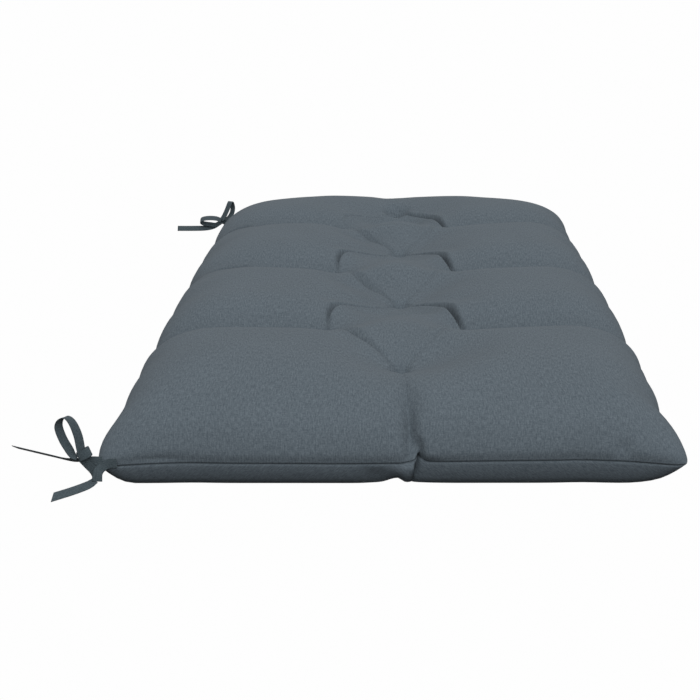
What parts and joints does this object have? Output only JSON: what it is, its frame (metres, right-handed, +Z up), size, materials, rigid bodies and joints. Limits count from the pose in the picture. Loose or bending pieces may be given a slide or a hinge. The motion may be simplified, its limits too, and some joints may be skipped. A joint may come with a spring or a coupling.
{
  "type": "bench cushion",
  "caption": "Long flat bench cushion: a filled woven cover drawn down at staggered tufts, with a tape tie knotted in a bow at each corner of its left long side.",
  "frame": {"origin": "centre of the underside, on the surface that the cushion rests on", "axes": "+X across the width, towards the long side that has no ties; +Y along the length, away from the near short end; +Z up, from the underside to the tufted top"},
  "size_m": [0.5959, 1.0432, 0.0915],
  "materials": {
    "cover": "matt blue-grey plain weave, slightly heathered",
    "tape": "matt dark grey woven tape"
  },
  "bodies": {
    "root": {"cushion": "cover", "tie_near": "tape", "tie_far": "tape"}
  },
  "joints": []
}
